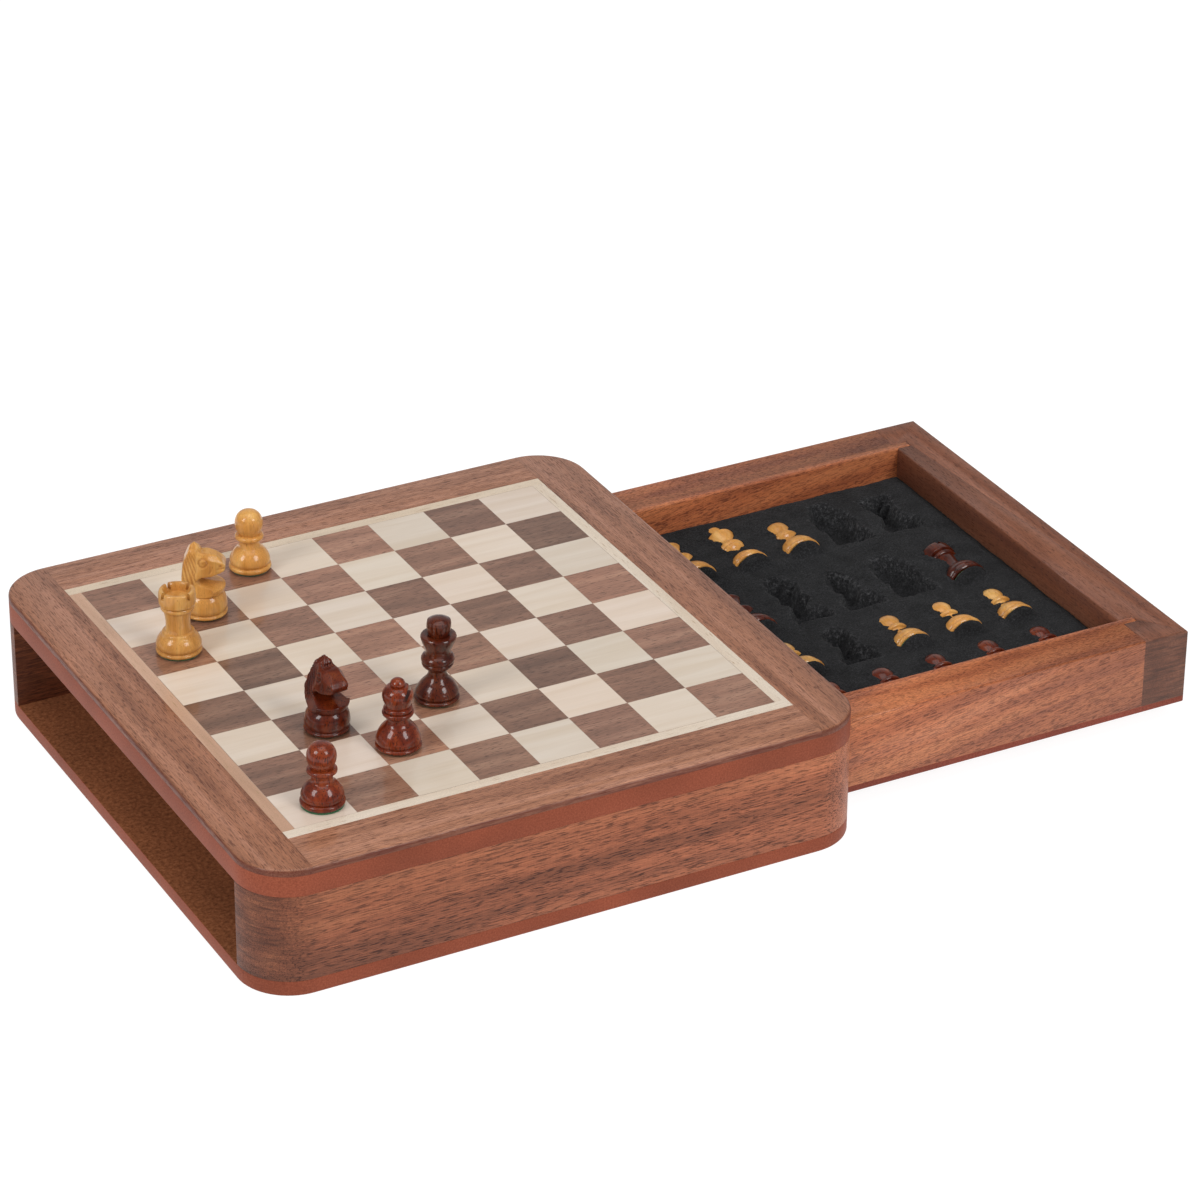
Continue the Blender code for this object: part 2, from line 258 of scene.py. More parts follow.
bottom = sawn_board("bottom_panel", case_low, case_high, ALL_CORNERS,
                    [(case_low.z, SAWN_EASE * 1.6, on_case_rim),
                     (case_high.z, SAWN_EASE * 0.3, on_case_rim)])
dress(bottom, "case", ["case_bottom_panel"], "stained_mdf", STAINED_EDGE, RAW_FIBRE)
face_material(bottom, 1, lambda normal, centre: normal.z > 0.95)

# ---- Side walls -------------------------------------------------------------------------
# Two solid blocks of Indian rosewood run the full depth, glued between the panels.  Their
# outer ends are turned to quarter rounds, where the end grain shows as a fine dark hatch.


def grained_wood(name, tones, pores, along, band_mm, pore_mm=(3.0, 0.3), pore_share=0.4,
                 gloss=(0.42, 0.3, 0.2), contrast=0.3, tilt=0.0, end_from_mm=None,
                 end_tone="#4a2617", rim_stain=None, shade_drift=None):
    """Open-pored wood with its grain along one axis, leaning by tilt degrees.

    tones are the dark, middle and pale wood, in bands band_mm wide; pore_mm is a pore's length
    and width, and gloss the roughness, the coat's weight and the coat's roughness.
    Past end_from_mm from the middle the end grain shows and is stained deeper; below nought it
    is at the low end only.  rim_stain is (level, colour): the sanded rim below that level is
    stained darker.  shade_drift is (from_mm, to_mm, first, last): painted shading, the colour
    scaled from first to last along X so that one end is darker, as the light falls there.
    """
    made, shader = new_material(name)
    place = own_place(made)
    lean = {"X": (0, math.radians(tilt), 0), "Y": (math.radians(tilt), 0, 0)}[along]
    leaning = add_node(made, "Mapping", {"Vector": place, "Rotation": lean}).outputs["Vector"]

    def stretched(length_mm, width_mm, detail, **more):
        sizes = [width_mm] * 3
        sizes["XYZ".index(along)] = length_mm
        return grain(made, leaning, sizes, detail, **more)

    figure = stretched(band_mm * 15, band_mm, 4.0, Distortion=0.35)
    colour = toned(made, figure, *zip((0.33, 0.48, 0.66), tones))
    streak = between(made, stretched(14, 0.4, 3.0, Roughness=0.75), 0.3, 0.7,
                     1 - contrast / 2, 1 + contrast / 2)
    ray = between(made, grain(made, place, (0.42, 0.42, 2.2), 1.0), 0.3, 0.7, 0.93, 1.07)
    fibre = strengthened(made, colour, worked_out(made, "MULTIPLY", streak, ray))
    # Painted shading: the wood is made darker towards one end along X and lighter towards the other,
    # as the light falls, not as the wood is.
    if shade_drift:
        along_x = add_node(made, "SeparateXYZ", {"Vector": place}).outputs["X"]
        tone = between(made, along_x, shade_drift[0] * MM, shade_drift[1] * MM, shade_drift[2], shade_drift[3])
        fibre = strengthened(made, fibre, tone)
    threshold = 0.70 - pore_share * 0.28
    long_pores = between(made, stretched(pore_mm[0] * 2, pore_mm[1] * 0.8, 2.0),
                         threshold + 0.01, threshold + 0.09)
    short_pores = between(made, stretched(*pore_mm, 1.5), threshold, threshold + 0.09)
    pore = worked_out(made, "MAXIMUM", long_pores, short_pores)
    open_pore = worked_out(made, "MULTIPLY", pore, between(made, figure, 0.35, 0.62, 0.95, 0.65))
    wood = mixed(made, open_pore, fibre, pores)
    if end_from_mm:
        reach = add_node(made, "SeparateXYZ", {"Vector": place}).outputs[along]
        if end_from_mm[0] > 0:
            reach = worked_out(made, "ABSOLUTE", reach)
        shown = between(made, reach, end_from_mm[0] * MM, end_from_mm[1] * MM)
        rings = between(made, grain(made, place, (9, 9, 0.8), 4.0, Roughness=0.7),
                        0.34, 0.6, 0.95, 0.35)
        wood = mixed(made, worked_out(made, "MULTIPLY", shown, rings), wood, end_tone)
    coat = gloss[1]
    if rim_stain:
        height = add_node(made, "SeparateXYZ", {"Vector": place}).outputs["Z"]
        worn = between(made, height, rim_stain[0] - 0.1 * MM, rim_stain[0] - 0.45 * MM)
        soaked = worked_out(made, "MULTIPLY", worn, between(made, streak, 0.85, 1.1, 0.55, 0.95))
        wood = mixed(made, soaked, wood, rim_stain[1])
        coat = between(made, worn, 0, 1, gloss[1], gloss[1] * 0.15)
    set_shader(shader, base_color=wood, coat_weight=coat, coat_roughness=gloss[2],
               roughness=between(made, open_pore, 0, 1, gloss[0], gloss[0] + 0.25),
               specular_ior_level=0.3, normal=relief(made, open_pore, 0.35, 0.12, invert=True))
    return made


# The wall's colour is painted darker towards its left end and lighter towards its right, a painted
# shading.
WALL_ROSEWOOD = grained_wood("rosewood_wall_lacquered", ["#83492f", "#9b583a", "#b06a47"],
                             "#3f2016", "X", 7.0, pore_mm=(3.2, 0.27), pore_share=0.52,
                             contrast=0.65, end_from_mm=(-70, -83), gloss=(0.5, 0.12, 0.2),
                             shade_drift=(-50, 85, 0.86, 1.16))
for side, corners in (("near", [(-1, -1), (1, -1)]), ("far", [(-1, 1), (1, 1)])):
    low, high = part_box("case_wall_" + side)
    low.z, high.z = case_high.z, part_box("case_top_core")[0].z
    wall = sawn_board("side_wall_" + side, low, high, corners,
                      [(low.z, SAWN_EASE * 0.35, on_case_rim),
                       (high.z, SAWN_EASE * 0.35, on_case_rim)])
    dress(wall, "case", ["case_wall_" + side], "border_wood", WALL_ROSEWOOD)

# ---- Top core and steel sheet -----------------------------------------------------------
# The top is a sheet of the same stained fibreboard, 6 mm thick.  A thin steel sheet lies in a
# shallow recess in it, under the veneer, and holds the pieces' magnets.


def cut_away(piece, cutter):
    """Cuts one mesh out of another for good and removes the cutter."""
    cut = piece.modifiers.new("Cut", "BOOLEAN")
    cut.operation, cut.solver, cut.object = "DIFFERENCE", "EXACT", cutter
    bpy.context.view_layer.objects.active = piece
    bpy.ops.object.modifier_apply(modifier=cut.name)
    bpy.data.objects.remove(cutter)


core_low, core_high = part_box("case_top_core")
core = sawn_board("top_core", core_low, core_high, ALL_CORNERS,
                  [(core_low.z, SAWN_EASE * 0.35, on_case_rim),
                   (core_high.z, SAWN_EASE * 0.3, on_case_rim)])
steel_low, steel_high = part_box("steel_sheet")
recess_room = Vector((0.3, 0.3, 0.1)) * MM
recess = sawn_board("recess_cutter", steel_low - recess_room,
                    Vector((steel_high.x, steel_high.y, core_high.z + MM)) + recess_room)
cut_away(core, recess)
dress(core, "case", ["case_top_core"], "stained_mdf", STAINED_EDGE, RAW_FIBRE)
face_material(core, 1, lambda normal, centre: normal.z < -0.95)

MILL_STEEL, shader = new_material("mill_finish_steel")
rolled = grain(MILL_STEEL, own_place(MILL_STEEL), (25, 0.4, 0.4))
set_shader(shader, base_color=toned(MILL_STEEL, rolled, (0.3, "#8f9092"), (0.7, "#b3b4b6")),
           metallic=1.0, roughness=0.35)
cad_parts["steel_sheet"].data.materials.clear()
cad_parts["steel_sheet"].data.materials.append(MILL_STEEL)

# ---- Border and maple strips ------------------------------------------------------------
# Strips of brown veneered wood frame the board, the left and right ones full depth with the
# round corners, and a thin pale maple strip runs inside them.  Their grain follows their length,
# and the outer top edge is sanded round.
TOP_ROUND = 0.95 * MM
field_low, field_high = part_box("playing_field")
BORDER_TONES = {"X": ["#925f45", "#ab7456", "#bb856a"], "Y": ["#87553c", "#9e684b", "#ae785d"]}
BORDER_ALONG = {axis: grained_wood("rosewood_border_along_" + axis.lower(),
                                   BORDER_TONES[axis], "#643a29", axis, 5.0,
                                   pore_mm=(2.8, 0.27), pore_share=0.5,
                                   gloss=(0.4, 0.45, 0.16), contrast=0.42,
                                   rim_stain=(field_high.z, "#5c2414"))
                for axis in "XY"}
PALE_MAPLE = ["#d9c5af", "#e0cfbb", "#e6d7c6"]
MAPLE_TONES = {"left": ["#b98f72", "#c59c81", "#cfa98f"], "right": PALE_MAPLE,
               "near": PALE_MAPLE, "far": ["#cfb89e", "#d8c3aa", "#dfccb5"]}
MAPLE_ON = {side: grained_wood("maple_strip_" + side, tones, "#b08f6c",
                               "Y" if side in ("left", "right") else "X", 6.0,
                               pore_mm=(4, 0.35), pore_share=0.2, gloss=(0.38, 0.45, 0.16),
                               contrast=0.07)
            for side, tones in MAPLE_TONES.items()}
JOINT = 0.02 * MM
SEAM = 0.035 * MM
for side in ("left", "right", "near", "far"):
    axis = "Y" if side in ("left", "right") else "X"
    low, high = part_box("border_strip_" + side)
    low.z = core_high.z
    sign = -1 if side in ("left", "near") else 1
    corners = [(sign, -1), (sign, 1)] if axis == "Y" else []
    if axis == "Y":
        low.x, high.x = low.x - (sign > 0) * SEAM, high.x + (sign < 0) * SEAM
    else:
        low.y, high.y = low.y - (sign > 0) * SEAM, high.y + (sign < 0) * SEAM
        low.x, high.x = low.x - SEAM, high.x + SEAM
    strip = sawn_board("border_" + side, low, high, corners,
                       [(high.z, TOP_ROUND, on_case_rim)])
    dress(strip, "case", ["border_strip_" + side], "border_wood", BORDER_ALONG[axis])

    low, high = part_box("maple_strip_" + side)
    low.z = core_high.z
    grow = Vector((SEAM, SEAM, 0))
    strip = sawn_board("maple_" + side, low - grow, high + grow)
    dress(strip, "case", ["maple_strip_" + side], "maple", MAPLE_ON[side])

# ---- Playing field ----------------------------------------------------------------------
# Sixty-four squares of pale and brown veneer, laid edge to edge on the core, sanded flat and
# lacquered.  Each square is cut from another place in the sheet, so its tone and grain differ.
SQUARE = (field_high.x - field_low.x) / 8
VENEER_SEAM = 0.12 * MM
veneer, shader = new_material("chequered_veneer_lacquered")
place = own_place(veneer)
counted = add_node(veneer, "Mapping", {"Vector": place, "Scale": [1 / SQUARE, 1 / SQUARE, 0],
                                       "Location": (4, 4, 0.5)}).outputs["Vector"]


def vector_step(operation, *values):
    """One step of working with places on the field."""
    return add_node(veneer, "VectorMath", dict(enumerate(values)),
                    operation=operation).outputs["Vector"]


cell = vector_step("FLOOR", counted)
cut_from = add_node(veneer, "TexWhiteNoise", {"Vector": cell})
moved = vector_step("ADD", place, cut_from.outputs["Color"])
apart = add_node(veneer, "SeparateXYZ", {"Vector": cell}).outputs
brown = worked_out(veneer, "MODULO", worked_out(veneer, "ADD", apart["X"], apart["Y"]), 2.0)
broad, fine, dashes = [grain(veneer, moved, (length_mm, width_mm, 0), detail, Distortion=0.5)
                       for length_mm, width_mm, detail in ((45, 4.5, 3), (20, 0.5, 3),
                                                           (2.8, 0.3, 1))]
pore = between(veneer, dashes, 0.56, 0.68, 0, 0.75)
brown_tone = mixed(veneer, pore, toned(veneer, broad, (0.3, "#7d5743"), (0.5, "#916650"),
                                       (0.7, "#a47a62")), "#51352a")
pale_tone = toned(veneer, broad, (0.3, "#dcc8b2"), (0.5, "#e1cfbc"), (0.7, "#e5d5c4"))
square_tone = mixed(veneer, brown, pale_tone, brown_tone)
# Brown squares differ more from one another than pale ones do, and have stronger streaks.
lot = between(veneer, cut_from.outputs["Value"], 0, 1, between(veneer, brown, 0, 1, 0.95, 0.68),
              between(veneer, brown, 0, 1, 1.05, 1.28))
streak = worked_out(veneer, "MULTIPLY_ADD", between(veneer, fine, 0.25, 0.75, -1, 1),
                    between(veneer, brown, 0, 1, 0.025, 0.16), 1.0)
hue = mixed(veneer, 0.03, (1, 1, 1, 1), cut_from.outputs["Color"])
tinted = mixed(veneer, 1.0, square_tone, hue, blend_type="MULTIPLY")
laid = strengthened(veneer, tinted, worked_out(veneer, "MULTIPLY", lot, streak))
off_centre = vector_step("ABSOLUTE", vector_step("SUBTRACT", vector_step("FRACTION", counted),
                                                 (0.5, 0.5, 0)))
reach = add_node(veneer, "SeparateXYZ", {"Vector": off_centre}).outputs
seam = between(veneer, worked_out(veneer, "MAXIMUM", reach["X"], reach["Y"]),
               0.5 - VENEER_SEAM / SQUARE, 0.5, 0, 0.55)
brown_pore = worked_out(veneer, "MULTIPLY", pore, brown)
set_shader(shader, base_color=mixed(veneer, seam, laid, "#8a6a55"), coat_weight=0.6,
           coat_roughness=0.09, specular_ior_level=0.4,
           roughness=between(veneer, brown_pore, 0, 1, 0.36, 0.6),
           normal=relief(veneer, brown_pore, 0.25, 0.1, invert=True))

low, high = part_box("playing_field")
low.z = core_high.z
field = sawn_board("chequered_field", low - grow, high + grow)
dress(field, "case", ["playing_field"], "field_veneer", veneer)

# ---- Drawer frame -----------------------------------------------------------------------
# Two rails and two end boards of solid rosewood: an inner tongue of each rail is let into the
# end board, and the end boards run the full width, so their end grain shows at the sides.
# A thin stained plywood floor is glued under them.
RAIL_EASE = 0.5 * MM
# The rails' colour is painted darker towards their right ends, a painted shade.
DRAWER_RAIL = grained_wood("rosewood_rail_lacquered", ["#a05735", "#bc6c42", "#c97b4e"],
                           "#6d3822", "X", 5.0, pore_mm=(1.8, 0.28), pore_share=0.54,
                           gloss=(0.44, 0.28, 0.2), contrast=0.42, tilt=8,
                           shade_drift=(95, 190, 1.03, 0.88))
DRAWER_END = grained_wood("rosewood_end_board_lacquered", ["#6a3e2e", "#804e38", "#915d46"],
                          "#4d2e22", "Y", 7.0, pore_mm=(2.2, 0.25), pore_share=0.4,
                          gloss=(0.46, 0.2, 0.22), contrast=0.36, end_from_mm=(72.8, 73.1),
                          end_tone="#472c22")
PLYWOOD = fibreboard("stained_plywood_edge", ["#6a2f22", "#834031", "#94503e"], 0.6, 0.55, 0.1)

low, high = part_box("drawer_floor")
high.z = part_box("drawer_rail_near")[0].z
floor_board = sawn_board("drawer_floor_ply", low, high,
                         eases=[(low.z, SAWN_EASE, lambda point: True)])
dress(floor_board, "drawer", ["drawer_floor"], "stained_ply", PLYWOOD)

TONGUE = 2.8 * MM
end_face, back_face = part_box("drawer_end_right")[0].x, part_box("drawer_end_left")[1].x
INWARD = {"near": 1, "far": -1}
for side, toward in INWARD.items():
    low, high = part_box("drawer_rail_" + side)
    outer, inner = (low.y, high.y) if side == "near" else (high.y, low.y)
    rail = sawn_board("drawer_rail_wood_" + side, low, high,
                      eases=[(high.z, RAIL_EASE, lambda point: True)])
    ys = sorted((outer - toward * MM, inner - toward * TONGUE))
    for xs in ((end_face, high.x + MM), (low.x - MM, back_face)):
        cut_away(rail, sawn_board("shoulder_cutter", Vector((xs[0], ys[0], low.z - MM)),
                                  Vector((xs[1], ys[1], high.z + MM))))
    dress(rail, "drawer", ["drawer_rail_" + side], "drawer_wood", DRAWER_RAIL)

for end in ("right", "left"):
    low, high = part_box("drawer_end_" + end)
    board = sawn_board("drawer_end_wood_" + end, low, high,
                       eases=[(high.z, RAIL_EASE, lambda point: True)])
    for side, toward in INWARD.items():
        rail_low, rail_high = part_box("drawer_rail_" + side)
        inner = rail_high.y if side == "near" else rail_low.y
        ys = sorted((inner, inner - toward * TONGUE))
        xs = sorted((rail_high.x, low.x - MM) if end == "right" else (rail_low.x, high.x + MM))
        cut_away(board, sawn_board("notch_cutter", Vector((xs[0], ys[0] - JOINT, low.z - MM)),
                                   Vector((xs[1] + JOINT, ys[1] + JOINT, high.z + MM))))
    dress(board, "drawer", ["drawer_end_" + end], "drawer_wood", DRAWER_END)

# ---- Turned chess pieces ----------------------------------------------------------------
# Each piece is turned from boxwood or red-stained rosewood, with beads and coves cut on the
# lathe, then dipped in gloss lacquer.  A bore in its foot holds a small magnet, and a disc of
# green felt is glued over both.
TURNED_STEPS = 56
OUTLINE_STEPS = 5
FELT_TOP = 0.5
MAGNET_R, MAGNET_TOP = 2.5, 3.3
BORE_R, BORE_TOP = 2.7, 3.5
BORE = [(0, BORE_TOP, "c"), (BORE_R, BORE_TOP, "c"), (BORE_R, FELT_TOP, "c")]


def foot_and_bulb(foot_r, bulb_r, plate_top):
    """The parts that all pieces share: foot plate, groove and the start of the bulb."""
    return [(foot_r - 0.4, FELT_TOP, "c"), (foot_r, FELT_TOP + 0.4),
            (foot_r, plate_top - 0.35), (foot_r - 0.3, plate_top, "c"),
            (bulb_r - 0.4, plate_top + 0.12, "c"), (bulb_r - 0.22, plate_top + 0.35, "c"),
            (bulb_r, plate_top + 1.0)]


# Outlines from the foot up: (radius, height) in millimetres, with "c" where there is a corner.
OUTLINES = {
    "pawn": foot_and_bulb(5.9, 5.65, 1.95) + [
        (5.45, 4.1), (4.8, 5.4), (3.9, 6.5), (3.15, 7.1, "c"), (2.85, 7.9), (2.8, 8.9),
        (3.2, 9.6, "c"), (3.85, 9.8), (4.05, 10.35), (3.8, 10.9), (2.9, 11.15, "c"), (3.5, 12.3),
        (3.94, 14.1), (3.65, 16.0), (2.6, 17.5), (1.2, 18.15), (0, 18.28, "c")],
    "rook": foot_and_bulb(6.29, 6.22, 1.7) + [
        (6.0, 3.8), (5.4, 5.0), (4.75, 5.75, "c"), (4.6, 6.1), (4.35, 6.6), (3.6, 6.85, "c"),
        (3.4, 8.1), (3.45, 10.5), (3.7, 12.2), (3.8, 13.1, "c"), (4.4, 13.4), (4.6, 13.95),
        (4.4, 14.5), (3.9, 14.8, "c"), (4.9, 15.1, "c"), (5.0, 15.4), (5.0, 18.2),
        (4.85, 18.9, "c"), (4.6, 19.15), (3.9, 19.15, "c"), (3.65, 18.7), (3.4, 16.9, "c"),
        (0, 16.6, "c")],
    "bishop": foot_and_bulb(6.15, 6.0, 1.6) + [
        (5.8, 3.8), (5.15, 5.3), (4.15, 6.6), (3.35, 7.5), (3.0, 8.4), (3.1, 9.2, "c"),
        (3.75, 9.7), (4.2, 10.4), (4.1, 10.95), (3.55, 11.15, "c"), (3.85, 11.6), (3.75, 12.15),
        (3.3, 12.45, "c"), (3.55, 13.3), (4.05, 14.8), (4.1, 16.1), (3.6, 17.4), (2.6, 18.25),
        (1.85, 18.4, "c"), (2.0, 19.0), (1.55, 19.95), (0.8, 20.45), (0, 20.6, "c")],
    "king": foot_and_bulb(6.1, 5.85, 1.6) + [
        (5.35, 3.9), (4.55, 5.2), (3.55, 6.3), (2.8, 7.3), (2.5, 8.3), (2.6, 9.2, "c"),
        (3.2, 9.8), (4.1, 10.6), (4.3, 11.3), (4.15, 11.65, "c"), (4.5, 12.3), (4.25, 13.3),
        (3.5, 14.0, "c"), (3.4, 15.0), (3.85, 16.2), (4.3, 17.3), (4.7, 18.5), (4.82, 19.2),
        (4.6, 19.6, "c"), (3.5, 19.75), (2.75, 19.6, "c"), (2.9, 20.2), (3.22, 21.5),
        (3.27, 22.9), (3.12, 23.9, "c"), (1.6, 24.6), (0, 24.8, "c")],
    "queen": foot_and_bulb(6.1, 5.95, 1.6) + [
        (5.75, 3.9), (5.2, 5.3), (4.4, 6.5), (3.5, 7.4, "c"), (3.1, 7.9), (2.95, 8.8),
        (3.1, 9.8, "c"), (3.6, 10.3), (4.3, 11.0), (4.65, 11.8), (4.3, 12.4), (3.8, 12.65, "c"),
        (3.55, 14.4), (3.3, 15.4, "c"), (3.6, 16.4), (4.05, 18.0), (4.5, 19.1), (4.35, 19.5, "c"),
        (3.2, 19.9), (1.7, 20.3, "c"), (1.95, 21.4), (1.5, 22.5), (0.8, 23.0), (0, 23.15, "c")],
    "knight": foot_and_bulb(6.15, 6.1, 1.6) + [
        (6.1, 4.0), (5.88, 5.2), (5.45, 6.2), (4.9, 6.95), (4.5, 7.3, "c"), (0, 7.4, "c")],
}


def new_object(name, data):
    """A new object in the scene."""
    made = bpy.data.objects.new(name, data)
    bpy.context.scene.collection.objects.link(made)
    return made


def spun(name, outline):
    """An outline in millimetres, smoothed between its corners and spun round Z."""
    curve = bpy.data.curves.new(name, "CURVE")
    curve.dimensions = "3D"
    curve.resolution_u = OUTLINE_STEPS
    line = curve.splines.new("BEZIER")
    line.bezier_points.add(len(outline) - 1)
    for point, (radius, height, *corner) in zip(line.bezier_points, outline):
        point.co = (radius * MM, 0, height * MM)
        point.handle_left_type = point.handle_right_type = "VECTOR" if corner else "AUTO"
    made = new_object(name, curve)
    alone(made)
    bpy.ops.object.convert(target="MESH")
    bpy.ops.object.mode_set(mode="EDIT")
    bpy.ops.mesh.select_all(action="SELECT")
    bpy.ops.mesh.remove_doubles(threshold=NEAR_ZERO / 4)
    bpy.ops.mesh.spin(steps=TURNED_STEPS, angle=2 * math.pi, center=(0, 0, 0), axis=(0, 0, 1))
    bpy.ops.mesh.select_all(action="SELECT")
    bpy.ops.mesh.remove_doubles(threshold=NEAR_ZERO / 4)
    bpy.ops.mesh.normals_make_consistent(inside=False)
    bpy.ops.object.mode_set(mode="OBJECT")
    bpy.ops.object.shade_smooth_by_angle(angle=math.radians(38))
    return made


def cutter_box(size_mm, place_mm, turn):
    """A box in millimetres, turned (x, y, z) in degrees about its own centre."""
    return scaled_box("piece_cutter", Vector(place_mm) * MM, Vector(size_mm) * MM,
                      [math.radians(angle) for angle in turn])


# The horse's outline from the side: (forwards, height) in millimetres, from the chest up the
# mane, over the crest and down the face to the throat.
HORSE_OUTLINE = [(-4.5, 6.6), (-5.5, 8.2), (-6.0, 9.8), (-6.05, 13.0), (-5.85, 14.8),
                 (-5.3, 17.3), (-4.3, 19.6), (-3.4, 21.5), (-2.4, 22.25), (-1.5, 21.4),
                 (-0.6, 20.1), (-0.5, 19.4), (1.5, 19.25), (3.6, 18.6), (5.2, 17.0), (6.0, 15.7),
                 (5.9, 14.7), (5.5, 14.1), (4.5, 13.6), (1.6, 12.6), (-0.7, 12.4), (-1.8, 12.0),
                 (-2.1, 11.3), (-0.8, 10.4), (0.6, 9.0), (1.6, 6.6)]
HEAD_VOXEL = 0.19 * MM
FILED = 0.3


def ramp(value, low, high):
    """How far a value is from low to high, held between 0 and 1."""
    return min(max((value - low) / (high - low), 0.0), 1.0)


def half_width(x, z):
    """Half the horse's thickness, made of flat knife-cut planes, in millimetres."""
    neck = 3.8 - 0.28 * max(z - 12.5, 0) + 0.12 * max(z - 17.0, 0)
    gable = 2.9 - 1.15 * (z - 19.5)
    cheek = 3.45 - 0.17 * max(x - 0.3, 0)
    brow = 3.1 - 0.9 * (z - 18.1 + 0.5 * max(x - 1.2, 0))
    jaw = 3.3 + 0.4 * (z - 12.8 - 0.3 * max(x - 1.0, 0))
    head = min(cheek, brow, max(jaw, 2.3))
    blend = ramp(x, -1.9, -0.7) * ramp(z, 11.8, 12.6)
    return max(min(neck * (1 - blend) + head * blend, gable), 0.25)


def carved_depth(x, z):
    """How deep the knife has cut into the horse's side: mane strands, eye, nostril, mouth."""
    fan = (x + 5.7 + 0.17 * (z - 10.5)) / (1.12 - 0.045 * (z - 10.5))
    strand = abs((fan % 1.0) - 0.5) * 2
    mane = ramp(-x, 1.7, 2.3) * ramp(z, 9.8, 10.8) * ramp(-z, -20.4, -18.0)
    depth = 0.62 * mane * (1 - ramp(strand, 0.0, 0.8))
    eye = math.hypot(x + 0.1, z - 17.0)
    depth += 0.50 * math.exp(-((eye - 1.15) / 0.26) ** 2) + 0.5 * math.exp(-(eye / 0.3) ** 2)
    depth -= 0.25 * math.exp(-((eye - 0.62) / 0.28) ** 2)
    depth += 0.55 * math.exp(-(math.hypot(x - 4.6, z - 15.7) / 0.38) ** 2)
    lips = abs(z - 14.9 - 0.12 * (x - 4.0))
    depth += 0.4 * ramp(x, 3.3, 3.9) * (1 - ramp(lips, 0.0, 0.32))
    fold = abs(x - 1.5 - 0.5 * math.sin(0.9 * (z - 13.5)))
    depth += 0.28 * (1 - ramp(fold, 0.0, 0.4)) * ramp(z, 13.4, 14) * ramp(-z, -16.4, -15.8)
    hatch = abs(((x * 1.3 + z) / 0.62 % 1.0) - 0.5) * 2
    depth += 0.22 * (1 - ramp(hatch, 0.0, 0.8)) * ramp(-z, -11.6, -10.8)
    ear = math.hypot((x + 3.0) / 0.8, (z - 20.9) / 1.2)
    return depth + 0.8 * (1 - ramp(ear, 0.4, 1.1))


def voxel_blank(piece, size):
    """Remakes a mesh as an even skin of small faces."""
    alone(piece)
    blank = piece.modifiers.new("Blank", "REMESH")
    blank.mode, blank.voxel_size = "VOXEL", size
    bpy.ops.object.modifier_apply(modifier=blank.name)


def horse_head():
    """The knight's carved head and neck: sawn from a slab, then cut with knife and file."""
    curve = bpy.data.curves.new("horse", "CURVE")
    curve.dimensions = "2D"
    curve.fill_mode = "BOTH"
    curve.extrude = 3.5 * MM
    line = curve.splines.new("POLY")
    line.points.add(len(HORSE_OUTLINE) - 1)
    for point, (x, z) in zip(line.points, HORSE_OUTLINE):
        point.co = (x * MM, z * MM, 0, 1)
    line.use_cyclic_u = True
    slab = new_object("horse", curve)
    alone(slab)
    slab.rotation_euler.x = math.radians(90)
    bpy.ops.object.convert(target="MESH")
    bpy.ops.object.transform_apply(location=True, rotation=True, scale=True)
    bpy.ops.object.mode_set(mode="EDIT")
    bpy.ops.mesh.select_all(action="SELECT")
    bpy.ops.mesh.remove_doubles(threshold=NEAR_ZERO / 4)
    bpy.ops.mesh.normals_make_consistent(inside=False)
    bpy.ops.object.mode_set(mode="OBJECT")
    voxel_blank(slab, HEAD_VOXEL)
    for vert in slab.data.vertices:
        x, y, z = vert.co / MM
        side = ramp(abs(y), 1.5, 3.2)
        wide = half_width(x, z)
        vert.co.y = (y / 3.5 * wide - math.copysign(carved_depth(x, z) * side, y)) * MM

    shelf = spun("shelf", [(0, 6.9, "c"), (4.7, 6.9, "c"), (5.3, 7.4), (5.7, 8.3),
                           (5.85, 9.3), (5.7, 13.0, "c"), (0, 13.0, "c")])
    for side in (-1, 1):
        cut_away(shelf, cutter_box((30, 20, 6), (2.6, side * 0.5, 13.2), (side * -9, 12.5, 0)))
        cut_away(shelf, cutter_box((10, 6, 14), (-2.9, side * 6.42, 11.1), (side * 20, 0, side * 8)))
    alone(slab, shelf)
    bpy.ops.object.join()
    horse = bpy.context.object
    for step in range(5):
        cut_away(horse, cutter_box((1.9, 0.45, 0.45), (-0.2, 0.8 * (step - 2), 19.6),
                                   (45, 22, 6 * (step - 2))))
    voxel_blank(horse, HEAD_VOXEL)
    sand = horse.modifiers.new("Sand", "SMOOTH")
    sand.factor, sand.iterations = 0.5, 1
    bpy.ops.object.modifier_apply(modifier=sand.name)
    # knife_cut marks the filed head and how deep each carved groove is; the groove depth is used for
    # painted shade in the wood colour.
    cuts = horse.data.attributes.new("knife_cut", "FLOAT", "POINT")
    for entry, vert in zip(cuts.data, horse.data.vertices):
        x, y, z = vert.co / MM
        groove = ramp(carved_depth(x, z), 0.05, 0.45) * ramp(abs(y), 1.4, 2.2)
        lock = ramp(-abs(x + 0.3), -1.1, -0.7) * ramp(z, 18.9, 19.3) * ramp(-z, -20.9, -20.5)
        groove = max(groove, lock * ramp(abs((y / 0.8 + 0.5) % 1 - 0.5), 0.3, 0.1))
        entry.value = FILED + (1 - FILED) * groove
    bpy.ops.object.shade_smooth()
    return horse


